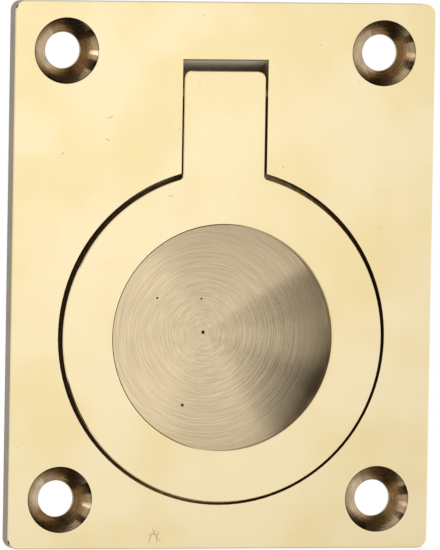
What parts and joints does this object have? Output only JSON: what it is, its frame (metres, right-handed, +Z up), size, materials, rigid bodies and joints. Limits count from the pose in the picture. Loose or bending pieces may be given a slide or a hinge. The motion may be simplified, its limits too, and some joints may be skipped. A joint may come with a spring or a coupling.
{
  "type": "flush ring pull",
  "caption": "Rectangular brass plate with a hinged ring lying flush in a round recess over a dished finger cup, and countersunk screw holes in the corners.",
  "frame": {"origin": "centre of the plate's rear seating face, midway between the four screw holes", "axes": "+Z up along the plate's long side, +X to the right, +Y into the door or drawer front, so the face looks along -Y"},
  "size_m": [0.05, 0.01, 0.063],
  "materials": {
    "plate_brass": "polished face, turned recess and as-cast back",
    "ring_brass": "polished",
    "pin_brass": "drawn rod, satin"
  },
  "bodies": {
    "mounting": {"backplate": "plate_brass", "hinge_pin": "pin_brass"},
    "ring": {"ring_pull": "ring_brass"}
  },
  "joints": [
    {"name": "ring_hinge", "type": "hinge", "parent": "mounting", "child": "ring", "pos_m": [0, -0.00125, 0.021], "axis": [-1, 0, 0], "range_deg": [0, 140]}
  ]
}
